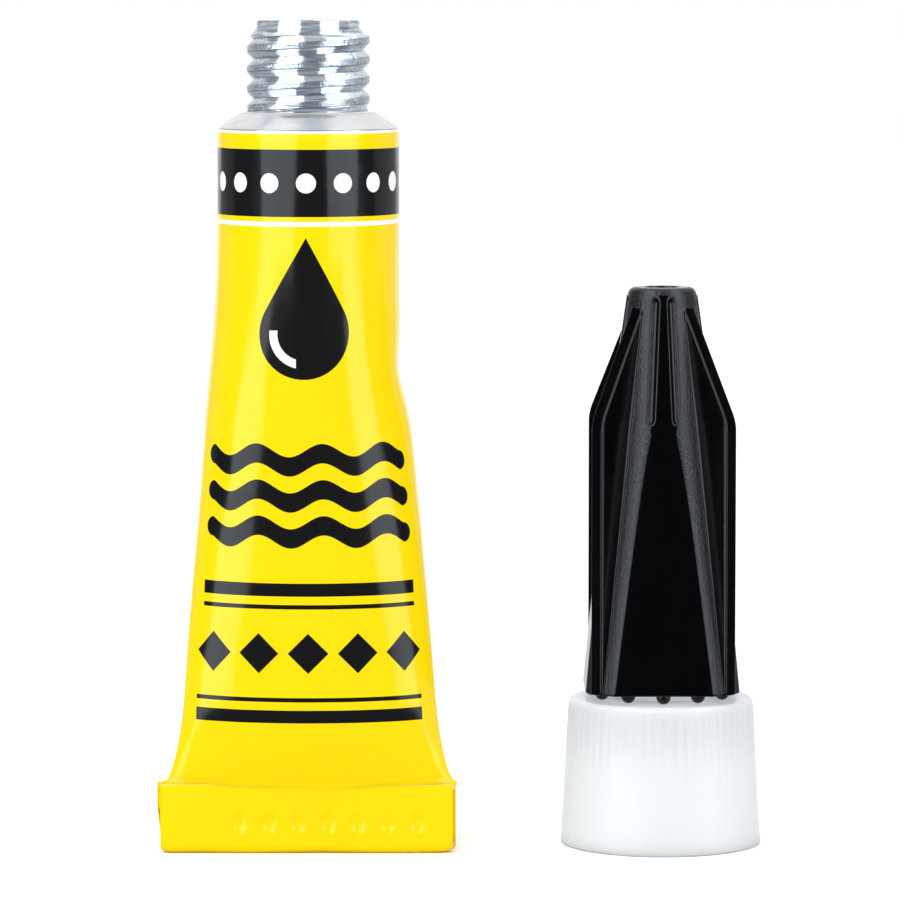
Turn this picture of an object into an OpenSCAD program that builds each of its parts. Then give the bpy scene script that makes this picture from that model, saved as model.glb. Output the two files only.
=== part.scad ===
// Super glue tube. An aluminium tube stands on its folded end with its threaded neck open,
// and its screw-on nozzle, still closed by a finned cap, stands beside it.
// The front faces -Y, +Z is up, and the origin is the middle of the footprint on the table.

/* [Tube] */
// Diameter of the tube before its end is flattened
tube_d = 12; // [10:0.1:14]
// Thickness of the aluminium wall
tube_wall = 0.15; // [0.1:0.01:0.3]
// Height of the body from the fold up to the shoulder
body_h = 41.6; // [36:0.1:60]
// How much further than round each face stands out under the shoulder
oval = 0.12; // [0:0.01:0.3]
// Depth that the wedge would have at the fold if it did not close there
wedge_depth = 5.2; // [3:0.1:8]
// Height above the fold where the wedge turns into the round tube
round_from = 29.5; // [15:0.5:34]
// Height above the fold over which the wedge closes
closing_h = 3.5; // [2:0.1:6]

/* [Folded end] */
// Height of the folded end
fold_h = 4.5; // [3:0.1:8]
// How far the pressing spreads the fold at each end
fold_spread = 0.08; // [0.05:0.01:0.3]
// Gap left between the folded layers
fold_gap = 0.06; // [0.03:0.01:0.15]
// Depth of the pressed flat that the fold stands on
foot_flat = 0.06; // [0.02:0.01:0.15]
// Thickness of the sealing band between the two walls
seal_t = 0.1; // [0.06:0.01:0.2]

/* [Shoulder and neck] */
// Diameter of the shoulder's rim
shoulder_d = 11.5; // [10.6:0.1:11.8]
// Height of the shoulder cone
shoulder_h = 1.2; // [0.8:0.1:3]
// Thickness of the shoulder
shoulder_t = 0.6; // [0.4:0.05:1]
// Height of the neck above the shoulder
neck_h = 5.8; // [4:0.1:9]
// Diameter over the neck's thread
neck_thread_d = 7.9; // [7:0.1:8.6]
// Pitch of the neck's thread
neck_pitch = 1.25; // [1:0.05:1.5]
// Depth of the neck's thread
neck_thread_depth = 0.45; // [0.3:0.05:0.6]
// Height of the plain ring at the neck's mouth
lead_h = 0.65; // [0.3:0.05:1.2]
// Diameter of the neck's bore
neck_bore_d = 5.6; // [4.4:0.1:5.8]
// Thickness of the membrane that closes the neck
membrane_t = 0.12; // [0.08:0.01:0.3]
// Depth of the membrane below the neck's mouth
membrane_depth = 0.8; // [0.3:0.1:2]

/* [Enamel and glue] */
// Thickness of the printed enamel coat
coat_t = 0.05; // [0.03:0.01:0.1]
// Height of the glue above the fold
glue_level = 32; // [10:0.5:35]

/* [Nozzle] */
// Diameter of the collar at its foot
collar_foot_d = 12.9; // [12:0.1:15]
// Diameter of the collar at its top
collar_top_d = 11.9; // [11.7:0.1:14]
// Radius of the collar's rounded top edge
collar_edge = 0.35; // [0.1:0.05:0.5]
// Thickness of the collar above the neck socket
collar_roof = 2.65; // [1.5:0.05:5]
// Length of the piercing spike in the socket
spike_len = 2.4; // [1.6:0.1:3]
// Diameter of the spike at its root
spike_d = 3; // [2:0.1:4]
// Diameter of the glue channel
channel_d = 0.9; // [0.7:0.05:1.2]
// Length of the spout above the collar
spout_len = 20.8; // [16:0.1:26]
// Diameter of the spout's tip
spout_tip_d = 1.9; // [1.7:0.1:2.4]
// Diameter over the spout's thread
spout_thread_d = 6.8; // [6:0.1:7.2]
// Pitch of the spout's thread
spout_pitch = 1; // [0.9:0.05:1.2]
// Depth of the spout's thread
spout_thread_depth = 0.45; // [0.3:0.05:0.5]
// Height of the threaded part of the spout
spout_thread_h = 3.6; // [2.5:0.1:5]

/* [Cap] */
// Diameter of the cap's cone at its rim
cap_base_d = 11.8; // [11.6:0.1:12.4]
// Diameter of the cap's cone at its top
cap_top_d = 4.4; // [4:0.1:5.4]
// Radius of the cap's rounded top edge
cap_edge = 0.5; // [0.2:0.05:0.7]
// Gap under the cap's rim that the nubs bridge
rim_gap = 0.6; // [0.4:0.05:1]
// Distance of the four flat panels from the axis at the rim
panel_reach = 4.95; // [4.6:0.05:5.4]
// Lean of the panels towards the axis in degrees
panel_lean = 5.2; // [3:0.1:6]
// Distance of the four fins' outer faces from the axis
fin_reach = 5.95; // [5.8:0.05:6.2]
// Thickness of a fin
fin_t = 0.95; // [0.6:0.05:1.4]
// Height above the rim where a fin's edge starts to slant inwards
fin_straight_h = 17.5; // [14:0.1:19]
// Distance from the cap's top down to the fins' upper ends
fin_below_top = 1.4; // [0.8:0.1:3]
// Width of a groove beside each upper rib
groove_w = 0.4; // [0.2:0.05:0.6]
// Width of an upper rib at its top
rib_top_w = 0.5; // [0.3:0.05:0.8]
// Width of an upper rib at its foot
rib_foot_w = 1.1; // [0.8:0.05:1.4]
// Height above the rim of the grooves' lower ends
groove_foot_h = 17.5; // [14:0.1:19]
// Diameter of a nub under the rim
nub_d = 0.94; // [0.6:0.02:1]
// Distance of the nubs from the axis
nub_reach = 4.65; // [4.2:0.05:4.8]
// Depth of the recess in the cap's top
recess_depth = 2; // [1:0.1:3]
// Diameter of the recess in the cap's top
recess_d = 2.2; // [1.6:0.1:2.6]
// Thickness of the web that holds the pin
pin_web = 3.1; // [2:0.1:4]
// Diameter of the steel pin that keeps the spout open
pin_d = 0.6; // [0.4:0.05:0.65]
// Length of the pin inside the spout
pin_dip = 2.6; // [1.5:0.1:5]
// Turn of the cap about its axis as it stands, in degrees
cap_twist = 2.5; // [-10:0.5:10]

/* [Layout] */
// Distance between the tube's axis and the nozzle's axis
axis_spacing = 22.6; // [18:0.1:40]
// How much nearer to the viewer the tube stands than the nozzle
tube_forward = 3.6; // [0:0.1:8]

/* [Clearances] */
// Radial and axial clearance between mating threads
thread_gap = 0.1; // [0.06:0.01:0.15]
// Gap between parts that rest against each other
rest_gap = 0.05; // [0.03:0.01:0.1]
// Gap of a layer that lies on another
film_gap = 0.01; // [0.01:0.005:0.03]
// Radial running clearance of the pin in the cap
pin_gap = 0.03; // [0.01:0.01:0.08]
// Gap between the spout and the inside of the cap
cavity_gap = 0.6; // [0.4:0.05:0.8]

/* [Hidden] */
$fn = 64;

// Tube sections and levels
girth = PI * tube_d;
section_points = 36;
level_count = 17;
level_crowding = 1.6;
rim_h = 0.6;
bury = 0.3;
round_half_depth = tube_d / 2 + oval;
rounding = 0.35;

// Folded end
layer_t = 2 * tube_wall + seal_t;
layer_pitch = layer_t + fold_gap;
fold_w = girth / 2 + 2 * fold_spread;
web_inset = 0.02;
foot_bend_z = layer_pitch + layer_t / 2 - foot_flat;
top_bend_z = fold_h - (layer_pitch + layer_t) / 2;
fold_front = 2 * layer_pitch + layer_t / 2;
seal_margin = 0.9;

// Shoulder and neck, measured from the table
shoulder_z = fold_h + body_h;
neck_z = shoulder_z + shoulder_h;
neck_top_z = neck_z + neck_h;
shoulder_r = shoulder_d / 2;
shoulder_seat = 0.05;
neck_r = neck_thread_d / 2;
neck_root_r = neck_r - neck_thread_depth;
neck_bore_r = neck_bore_d / 2;
lead_step = 0.2;
lead_r = neck_root_r - lead_step;
lead_chamfer = 0.35;
thread_end_z = neck_top_z - lead_h - lead_chamfer;
neck_groove_foot = 0.35;

// Threads
steps_per_turn = 24;
flank = tan(22);
groove_overshoot = 0.2;
groove_share = 0.34;
runout_turns = 0.5;
relief = 0.05;

// Nozzle, measured from the table
seat_lift = 0.2;
socket_seat_h = shoulder_h - seat_lift;
socket_top_z = socket_seat_h + neck_h + rest_gap;
collar_h = socket_top_z + collar_roof;
socket_r = neck_root_r + thread_gap;
socket_thread_r = neck_r + thread_gap;
entry_r = socket_thread_r + relief;
seat_r = entry_r + (shoulder_r - neck_r) * socket_seat_h / shoulder_h;
socket_relief = 1;
spike_land = 0.15;
spike_tip_d = channel_d + 2 * spike_land;
spout_r = spout_thread_d / 2;
spout_root_r = spout_r - spout_thread_depth;
spout_thread_z = collar_h + spout_thread_h;
spout_step = 0.3;
spout_neck_r = spout_root_r - spout_step;
spout_top_z = collar_h + spout_len;
spout_groove_foot = 0.4;

// Cap, measured from its own rim
rim_z = collar_h + rim_gap;
cap_h = spout_len - rim_gap + cavity_gap + pin_web + recess_depth;
cap_base_r = cap_base_d / 2;
cap_top_r = cap_top_d / 2;
cone_drop = (cap_base_r - cap_top_r) / cap_h;
cavity_relief_r = spout_r + thread_gap + relief;
cavity_bore_r = spout_root_r + thread_gap;
cavity_top_r = spout_tip_d / 2 + cavity_gap / 2;
lead_in_h = spout_groove_foot + (runout_turns + 0.5) * spout_pitch - rim_gap;
cavity_thread_h = spout_thread_h - rim_gap + rest_gap;
cavity_h = cap_h - recess_depth - pin_web;
fin_root = 1.5;
fin_sides = 4;
groove_below_edge = 0.3;
groove_top_h = cap_h - cap_edge - groove_below_edge;
nub_count = 12;
nub_z = rest_gap + nub_d / 2 - rim_gap;

// Layout
half_fold = fold_w / 2 + film_gap + coat_t;
half_depth_max = round_half_depth + film_gap + coat_t;
collar_r = collar_foot_d / 2;
tube_x = (half_fold - collar_r - axis_spacing) / 2;
tube_front = tube_forward + half_depth_max;
row_back = max(collar_r, half_depth_max - tube_forward);
row_front = max(collar_r, tube_front);
nozzle_y = (row_front - row_back) / 2;
tube_at = [tube_x, nozzle_y - tube_forward, 0];
nozzle_at = [tube_x + axis_spacing, nozzle_y, 0];

// The smaller of two values, with a rounded change from one to the other
function soft_min(a, b, k) =
    let (t = max(k - abs(a - b), 0) / k) min(a, b) - t * t * k / 4;

// Length round an ellipse with these half axes
function ellipse_girth(a, b) =
    PI * (3 * (a + b) - sqrt((3 * a + b) * (a + 3 * b)));

// Half width that keeps the tube's girth at this half depth, by halving the interval
function half_width(b, low = tube_d / 4, high = tube_d, rounds = 30) =
    rounds == 0 ? (low + high) / 2
    : let (mid = (low + high) / 2)
      ellipse_girth(mid, b) > girth ? half_width(b, low, mid, rounds - 1)
      : half_width(b, mid, high, rounds - 1);

// Half depth of the body at a height above the fold
function half_depth(h) =
    let (
        tip = layer_t / 2 - web_inset,
        wedge = wedge_depth / 2 + (round_half_depth - wedge_depth / 2) * h / round_from,
        full = soft_min(wedge, round_half_depth, rounding),
        reach = 1 - min(1, h / closing_h)
    )
    tip + (full - tip) * sqrt(1 - reach * reach);

// Heights of the body's sections, closer together near the fold
levels = [
    for (i = [0:level_count - 1])
        (body_h - rim_h) * pow(i / (level_count - 1), level_crowding)
];

// One closed section of the tube, grown outwards by an amount
function oval_ring(a, b, z) = [
    for (j = [0:section_points - 1])
        let (t = 360 * j / section_points) [a * cos(t), b * sin(t), z]
];

function body_ring(h, grow) =
    let (b = half_depth(h)) oval_ring(half_width(b) + grow, b + grow, fold_h + h);

// The body's outer form grown by an amount, from one of its levels up to the shoulder
module body_form(grow, first = 0, top_extra = 0) {
    rim = shoulder_r - shoulder_seat + grow;
    rings = [
        if (first == 0)
            oval_ring(half_width(half_depth(0)) + grow, half_depth(0) + grow, fold_h - bury),
        for (k = [first:level_count - 1]) body_ring(levels[k], grow),
        oval_ring(rim, rim, shoulder_z + top_extra)
    ];
    skin(rings);
}

// A closed solid through a list of rings with equal numbers of points
module skin(rings) {
    n = len(rings[0]);
    m = len(rings);
    sides = [
        for (i = [0:m - 2], j = [0:n - 1])
            let (a = i * n + j, b = i * n + (j + 1) % n, c = a + n, d = b + n)
            each [[a, c, d], [a, d, b]]
    ];
    start = [for (j = [0:n - 1]) j];
    end = [for (j = [n - 1:-1:0]) (m - 1) * n + j];
    polyhedron(points = [for (r = rings) each r], faces = concat([start], sides, [end]));
}

// A right-hand helical cutter. Its section runs from one radius to another, with a width at each
module helical_cutter(pitch, start_z, turns, inner_r, inner_w, outer_r, outer_w, runout = 0) {
    steps = ceil(turns * steps_per_turn);
    skin([
        for (i = [0:steps])
            let (
                t = 360 * i / steps_per_turn,
                z = start_z + pitch * i / steps_per_turn,
                fade = runout > 0 ? max(0, 1 - i / (runout * steps_per_turn)) : 0,
                r = inner_r + (outer_r - groove_overshoot / 2 - inner_r) * fade
            )
            [
                for (p = [[r, -inner_w], [r, inner_w], [outer_r, outer_w], [outer_r, -outer_w]])
                    [p[0] * cos(t), p[0] * sin(t), z + p[1] / 2]
            ]
    ]);
}

// Width of an outside thread's groove at a radius
function groove_at(pitch, root_r, r) = groove_share * pitch + 2 * (r - root_r) * flank;

// Cutter that leaves an outside thread on a cylinder of radius crest_r
module outside_thread_cutter(pitch, root_r, crest_r, start_z, end_z) {
    outer = crest_r + groove_overshoot;
    helical_cutter(
        pitch, start_z, (end_z - start_z) / pitch,
        root_r, groove_at(pitch, root_r, root_r), outer, groove_at(pitch, root_r, outer), runout_turns
    );
}

// Cutter for the inside thread that takes that outside thread, with clearance all round
module inside_thread_cutter(pitch, root_r, crest_r, start_z, end_z) {
    inner = root_r + thread_gap - groove_overshoot;
    outer = crest_r + thread_gap;
    inner_w = pitch - groove_at(pitch, root_r, inner) + 2 * thread_gap;
    outer_w = pitch - groove_at(pitch, root_r, outer) + 2 * thread_gap;
    helical_cutter(pitch, start_z, (end_z - start_z) / pitch, inner, inner_w, outer, outer_w);
}

// Section of a half bend of the folded wall, opening upwards or downwards
module half_bend(y, z, mid_r, up) {
    translate([y, z])
        intersection() {
            difference() {
                circle(r = mid_r + layer_t / 2);
                circle(r = mid_r - layer_t / 2);
            }
            translate([-tube_d / 2, up ? 0 : -tube_d]) square(tube_d);
        }
}

// Section of one flat layer of the fold between two heights
module fold_layer(y, low, high) {
    translate([y - layer_t / 2, low]) square([layer_t, high - low]);
}

// The flattened end, folded forwards and tucked in once more
module folded_end() {
    rotate([90, 0, 90])
        linear_extrude(height = fold_w, center = true)
            difference() {
                union() {
                    fold_layer(0, foot_bend_z, fold_h);
                    half_bend(-layer_pitch, foot_bend_z, layer_pitch, false);
                    fold_layer(-2 * layer_pitch, foot_bend_z, top_bend_z);
                    half_bend(-1.5 * layer_pitch, top_bend_z, layer_pitch / 2, true);
                    fold_layer(-layer_pitch, foot_bend_z + layer_t, top_bend_z);
                }
                translate([-tube_d / 2, -tube_d]) square(tube_d);
            }
}

// Space between the two walls of the flattened end, open to the inside of the tube
module seal_space(gap) {
    w = fold_w - 2 * seal_margin;
    low = foot_bend_z + seal_margin;
    translate([gap - w / 2, gap - seal_t / 2, low + gap])
        cube([w - 2 * gap, seal_t - 2 * gap, fold_h + levels[1] - low - 2 * gap]);
}

// Shoulder and neck in one turned piece, before its thread is cut
module shoulder_and_neck() {
    rotate_extrude()
        polygon([
            [shoulder_r - shoulder_t, shoulder_z],
            [shoulder_r, shoulder_z],
            [neck_r + shoulder_seat, neck_z],
            [neck_r, neck_z],
            [neck_r, thread_end_z],
            [lead_r, thread_end_z + lead_chamfer],
            [lead_r, neck_top_z],
            [neck_bore_r, neck_top_z],
            [neck_bore_r, neck_z]
        ]);
}

module tube_shell() {
    color([0.79, 0.8, 0.82])
        translate(tube_at)
            difference() {
                union() {
                    difference() {
                        body_form(0, 0, shoulder_seat);
                        body_form(-tube_wall, 1, 2 * shoulder_seat);
                    }
                    folded_end();
                    shoulder_and_neck();
                }
                seal_space(0);
                outside_thread_cutter(
                    neck_pitch, neck_root_r, neck_r,
                    neck_z + neck_groove_foot, neck_top_z + neck_pitch
                );
            }
}

// Envelope of the fold, grown by an amount and open below
module fold_envelope(grow, low) {
    translate([-fold_w / 2 - grow, -fold_front - grow, low])
        cube([fold_w + 2 * grow, fold_front + layer_t / 2 + 2 * grow, fold_h + grow - low]);
}

module enamel_coat() {
    color([0.99, 0.86, 0.02])
        translate(tube_at)
            difference() {
                union() {
                    body_form(film_gap + coat_t, 0, -shoulder_seat);
                    fold_envelope(film_gap + coat_t, 0);
                }
                union() {
                    body_form(film_gap, 0, shoulder_seat);
                    fold_envelope(film_gap, -1);
                }
            }
}

module neck_membrane() {
    color([0.86, 0.87, 0.89])
        translate(tube_at + [0, 0, neck_top_z - membrane_depth - membrane_t])
            cylinder(h = membrane_t, r = neck_bore_r - film_gap);
}

module end_seal_band() {
    color([0.86, 0.78, 0.6])
        translate(tube_at) seal_space(film_gap);
}

module glue_fill() {
    color([0.93, 0.94, 0.9])
        translate(tube_at)
            intersection() {
                body_form(-tube_wall - rest_gap, 1);
                translate([-tube_d, -tube_d, fold_h + levels[1] + rest_gap])
                    cube([2 * tube_d, 2 * tube_d, glue_level - levels[1] - rest_gap]);
            }
}

// Points of a rounded convex corner in a turned profile, from one direction to another
function corner_arc(r, z, radius, from, to, steps = 6) = [
    for (i = [0:steps])
        let (t = from + (to - from) * i / steps) [r + radius * cos(t), z + radius * sin(t)]
];

// Collar with its neck socket, spike, glue channel and spout, before the threads are cut
module turned_nozzle() {
    rotate_extrude()
        polygon(concat(
            [[collar_r, 0]],
            corner_arc(collar_top_d / 2 - collar_edge, collar_h - collar_edge, collar_edge, 0, 90),
            [
                [spout_r, collar_h],
                [spout_r, spout_thread_z - spout_thread_depth],
                [spout_neck_r, spout_thread_z],
                [spout_tip_d / 2, spout_top_z],
                [channel_d / 2, spout_top_z],
                [channel_d / 2, socket_top_z - spike_len],
                [spike_tip_d / 2, socket_top_z - spike_len],
                [spike_d / 2, socket_top_z],
                [socket_r, socket_top_z],
                [socket_r, socket_seat_h],
                [entry_r, socket_seat_h],
                [seat_r, 0]
            ]
        ));
}

module nozzle() {
    color([0.95, 0.96, 0.97])
        translate(nozzle_at)
            difference() {
                turned_nozzle();
                inside_thread_cutter(
                    neck_pitch, neck_root_r, neck_r,
                    socket_seat_h - neck_pitch, socket_top_z - socket_relief
                );
                outside_thread_cutter(
                    spout_pitch, spout_root_r, spout_r,
                    collar_h + spout_groove_foot, spout_thread_z + spout_pitch
                );
            }
}

module cap_pin() {
    color([0.7, 0.71, 0.73])
        translate(nozzle_at + [0, 0, spout_top_z - pin_dip])
            cylinder(h = pin_dip + cavity_gap + pin_web - rest_gap, r = pin_d / 2);
}

// Radius of the cap's cone at a height above the rim
function cone_r(h) = cap_base_r - cone_drop * h;

// The cap's plain cone with its rounded top
module cap_cone() {
    rotate_extrude()
        polygon(concat(
            [[0, 0], [cap_base_r, 0]],
            corner_arc(cap_top_r - cap_edge, cap_h - cap_edge, cap_edge, 0, 90),
            [[0, cap_h]]
        ));
}

// Block that cuts one leaning flat panel into the front of the cone
module panel_cutter() {
    translate([0, -panel_reach, 0])
        rotate([-panel_lean, 0, 0])
            translate([-cap_base_r, -cap_base_r, -cap_base_r])
                cube([2 * cap_base_r, cap_base_r, cap_h + cap_base_r]);
}

// Round cutter along the cone's surface, beside the rib over a panel
module groove_cutter(side) {
    low = [side * (rib_foot_w + groove_w) / 2, -cone_r(groove_foot_h), groove_foot_h];
    high = [side * (rib_top_w + groove_w) / 2, -cone_r(groove_top_h), groove_top_h];
    run = high - low;
    translate(low)
        rotate([0, acos(run[2] / norm(run)), atan2(run[1], run[0])])
            cylinder(h = norm(run), r = groove_w / 2);
}

// One fin on the +X side, as a flat plate with a slanted upper edge
module fin() {
    rotate([90, 0, 0])
        linear_extrude(height = fin_t, center = true)
            polygon([
                [fin_root, 0],
                [fin_reach, 0],
                [fin_reach, fin_straight_h],
                [cap_top_r, cap_h - fin_below_top],
                [fin_root, cap_h - fin_below_top]
            ]);
}

// The hollow for the spout, the pin's hole and the recess in the top
module cap_hollow() {
    rotate_extrude()
        polygon([
            [0, -1],
            [cavity_relief_r, -1],
            [cavity_relief_r, lead_in_h],
            [cavity_bore_r, lead_in_h + spout_thread_depth],
            [cavity_bore_r, cavity_thread_h],
            [cavity_relief_r, cavity_thread_h],
            [cavity_relief_r, cavity_thread_h + spout_thread_depth],
            [cavity_top_r, cavity_h],
            [0, cavity_h]
        ]);
    translate([0, 0, cavity_h - 1]) cylinder(h = pin_web + 2, r = pin_d / 2 + pin_gap);
    translate([0, 0, cap_h - recess_depth]) cylinder(h = recess_depth + 1, d = recess_d);
}

module cap() {
    color([0.09, 0.09, 0.1])
        translate(nozzle_at + [0, 0, rim_z])
            difference() {
                rotate(cap_twist)
                    union() {
                        difference() {
                            cap_cone();
                            for (k = [0:fin_sides - 1]) rotate(90 * k) {
                                panel_cutter();
                                groove_cutter(-1);
                                groove_cutter(1);
                            }
                        }
                        for (k = [0:fin_sides - 1]) rotate(90 * k + 45) fin();
                        for (k = [0:nub_count - 1]) rotate(360 * k / nub_count)
                            translate([0, -nub_reach, nub_z]) sphere(d = nub_d);
                    }
                cap_hollow();
                translate([0, 0, -rim_gap])
                    inside_thread_cutter(
                        spout_pitch, spout_root_r, spout_r,
                        spout_groove_foot - spout_pitch / 2, spout_thread_h + spout_pitch / 2
                    );
            }
}

tube_shell();
enamel_coat();
neck_membrane();
end_seal_band();
glue_fill();
nozzle();
cap_pin();
cap();
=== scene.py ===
"""The looks of a super glue tube. A flattened, printed tube stands on its folded end with its
threaded neck bare, and its nozzle stands beside it, closed by a black finned cap.

Sizes are millimetres and each form is measured from its own axis at the height of the table,
except where a name says otherwise. A turn is an angle about the axis, from the front to the right.
"""
import math

import bmesh
import bpy
import numpy as np
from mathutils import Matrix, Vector


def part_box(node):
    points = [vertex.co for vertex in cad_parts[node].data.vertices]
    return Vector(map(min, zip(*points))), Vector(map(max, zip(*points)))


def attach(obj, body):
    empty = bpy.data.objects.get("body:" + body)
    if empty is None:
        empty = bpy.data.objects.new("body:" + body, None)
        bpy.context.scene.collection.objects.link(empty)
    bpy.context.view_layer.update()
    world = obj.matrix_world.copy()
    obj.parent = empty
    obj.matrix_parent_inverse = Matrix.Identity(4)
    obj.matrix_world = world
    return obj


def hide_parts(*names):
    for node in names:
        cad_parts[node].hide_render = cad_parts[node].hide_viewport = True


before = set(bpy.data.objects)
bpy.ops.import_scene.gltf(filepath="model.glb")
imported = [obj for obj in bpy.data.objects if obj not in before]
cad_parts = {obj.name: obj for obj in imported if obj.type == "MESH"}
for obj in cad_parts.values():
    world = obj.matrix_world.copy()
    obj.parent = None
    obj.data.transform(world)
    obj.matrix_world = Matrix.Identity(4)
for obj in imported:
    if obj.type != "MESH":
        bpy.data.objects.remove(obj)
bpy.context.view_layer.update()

MM = 0.001
FULL_TURN = 2 * math.pi
SHARP_EDGE = math.radians(50)


def top_of(node):
    """Height of a node's top above the table."""
    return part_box(node)[1].z / MM


def axis_of(node):
    """The place on the table under a round node's middle, in metres."""
    low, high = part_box(node)
    return np.array([(low.x + high.x) / 2, (low.y + high.y) / 2, 0.0])


TUBE_AXIS = axis_of("neck_membrane")
NOZZLE_AXIS = axis_of("cap_pin")

# Tube body
TUBE_D = 12.0
TUBE_WALL = 0.15
BODY_H = 41.77
OVAL = 0.28
WEDGE_DEPTH = 5.94
ROUND_FROM = 29.5
CLOSING_H = 5.5
SIDE_CLOSING = 0.33
FRONT_CLOSING = 1.0
ROUNDING = 0.6
RIM_H = 0.6
COAT_T = 0.05
COAT_GAP = 0.01
GLUE_LEVEL = 32.0
GLUE_GAP = 0.05
GIRTH = math.pi * TUBE_D
ROUND_HALF_DEPTH = TUBE_D / 2 + OVAL
TUBE_COLUMNS = 208

# Folded end
FOLD_H = 4.5
FRONT_TIP = 1.15
BACK_TIP = 0.18
TUCK_H = 0.3
FOLD_LAYER_T = 0.44
FOLD_PITCH = 0.52
FOLD_LEFT = -9.54
FOLD_RIGHT = 9.34
FOLD_LUG = 0.24
FOLD_STEP = 0.2
FOLD_BULGE = 0.05
FOLD_STATIONS = 300

# Row of ovals pressed into the fold
PRESS_X = 1.2
PRESS_Z = 2.05
PRESS_HALF_W = 0.55
PRESS_HALF_H = 1.0
PRESS_DEPTH = 0.12
PRESS_PITCH = 1.9
PRESS_ROW_HALF = 6.65

# Shoulder and neck
SHOULDER_Z = FOLD_H + BODY_H
SHOULDER_R = 5.7
SHOULDER_T = 0.6
SHOULDER_SEAT = 0.05
NECK_Z = SHOULDER_Z + 1.03
NECK_TOP_Z = top_of("tube_shell")
NECK_R = 3.93
NECK_PITCH = 1.25
THREAD_DEPTH = 0.45
CREST_SHARE = 0.13
ROOT_SHARE = 0.31
NECK_THREAD_DEPTH = 0.46
NECK_THREAD_START = 0.31
NECK_ROOT_SHARE = 0.5
NECK_BORE_R = 2.8
LEAD_R = 3.26
LEAD_H = 0.65

# Nozzle
COLLAR_FOOT_R = 6.45
COLLAR_TOP_R = 5.95
COLLAR_H = 9.5
COLLAR_EDGE = 0.35
COLLAR_RIBS = 60
COLLAR_RIB_SHARE = 0.006
SOCKET_SEAT_H = 1.0
SOCKET_TOP_Z = 6.85
SOCKET_R = 3.6
SOCKET_ENTRY_R = 4.1
SOCKET_SEAT_R = 5.6
SPIKE_TIP_Z = 4.45
CHANNEL_R = 0.45
SPOUT_R = 3.4
SPOUT_NECK_R = 2.65
SPOUT_TIP_R = 0.95
SPOUT_THREAD_Z = 13.1
SPOUT_THREAD_START = 0.9
SPOUT_TOP_Z = top_of("nozzle")
SPOUT_PITCH = 1.0
NOZZLE_COLUMNS = 6 * COLLAR_RIBS

# Cap, measured from its own rim
RIM_Z = 10.1
CAP_H = top_of("cap") - RIM_Z
CAP_BASE_R = 5.9
CAP_TOP_R = 2.2
CAP_EDGE = 0.5
TOP_STEPS = 10
CONE_DROP = (CAP_BASE_R - CAP_TOP_R) / CAP_H
PANEL_REACH = 4.95
PANEL_DROP = math.tan(math.radians(5.2))
FIN_REACH = 6.08
FIN_HALF_T = 0.475
FIN_STRAIGHT_H = 17.5
FIN_TOP_H = CAP_H - 1.4
FIN_SLANT = (FIN_REACH - CAP_BASE_R + CONE_DROP * FIN_TOP_H) / (FIN_TOP_H - FIN_STRAIGHT_H)
FIN_EDGE = 0.1
GROOVE_R = 0.23
GROOVE_FOOT_H = 17.5
GROOVE_TOP_H = CAP_H - 0.9
RIB_FOOT_HALF = 0.6
RIB_TOP_HALF = 0.28
CAVITY_H = CAP_H - 5.1
CAVITY_TOP_R = 1.25
CAVITY_RELIEF_R = 3.55
CAVITY_BORE_R = 3.05
CAVITY_THREAD_H = 3.05
LEAD_IN_H = 0.8
PIN_HOLE_R = 0.33
RECESS_R = 1.1
RECESS_H = CAP_H - 2.0
NUB_COUNT = 12
NUB_R = 0.47
NUB_REACH = 4.45
NUB_H = -0.08

# Print on the enamel: across from the middle of the front, and up from the table
PRINT_MAP = "print_map"
BAND_Z = 43.0
BAND_HALF_H = 2.1
BAND_DOT_R = 0.62
BAND_DOT_PITCH = GIRTH / 16
BAND_LINE_Z = 40.45
TOP_LINE_H = 0.2
DROP_Z = 33.6
DROP_R = 2.9
DROP_TIP = 6.0
GLEAM_R = 1.95
GLEAM_HALF_W = 0.27
WAVE_ZS = (21.0, 23.3, 25.6)
WAVE_HALF_W = 0.62
WAVE_RISE = 0.42
WAVE_LENGTH = GIRTH / 9
WAVE_HALF_ACROSS = 6.6
THICK_RULE = 0.42
THIN_RULE = 0.14
UPPER_RULE_HALF = 7.3
LOWER_RULE_HALF = 7.7
DIAMOND_Z = 13.2
DIAMOND_R = 1.3
DIAMOND_PITCH = 3.2
DIAMOND_ROW_HALF = 7.8

# Names of the layers that mark the neck's rough sides and ridges, where glints are painted as
# speckles, and the dark marks on its thread: dirt on the ridges' edges and painted shade in the
# groove roots
RIDGE = "ridge"
EDGE = "edge"

# Picture and camera
PICTURE_PX = 900
PX_PER_MM = 15.6
SENSOR = 36.0
CAMERA_DISTANCE = 340.0
CAMERA_RISE = math.radians(5.0)
CAMERA_TARGET = (-0.77, 0.0, 25.62)
CAMERA_SIDE = Vector((0, -math.cos(CAMERA_RISE), math.sin(CAMERA_RISE)))

# Sheets that show in reflections: colours, strengths, distances in metres, and the upward tilts,
# in degrees, of the surfaces that mirror them to the camera
DARK_BLUE = (0.5, 0.72, 1.0)
COOL_WHITE = (0.86, 0.93, 1.0)
STRIP_STRENGTH = 4.0
NECK_CARD_STRENGTH = 3.0
SHADE_STRENGTH = 0.6
CURTAIN_DISTANCE = 1.2
STRIP_DISTANCE = 1.0
NECK_TILT = 1.4
SHOULDER_TILT = 51
CURTAIN_TILTS = (-78, SHOULDER_TILT)
STRIP_TILTS = (NECK_TILT, SHOULDER_TILT)
SHADE_TILTS = (SHOULDER_TILT, 68)


# Number helpers

def smooth(value, low, high):
    """0 below low, 1 above high and an S curve between them."""
    share = np.clip((value - low) / (high - low), 0, 1)
    return share * share * (3 - 2 * share)


def soft_min(a, b, k):
    """The smaller of two values, with a rounded change over a width of k."""
    share = np.maximum(k - np.abs(a - b), 0) / k
    return np.minimum(a, b) - share * share * k / 4


def soft_max(a, b, k):
    return -soft_min(-a, -b, k)


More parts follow.
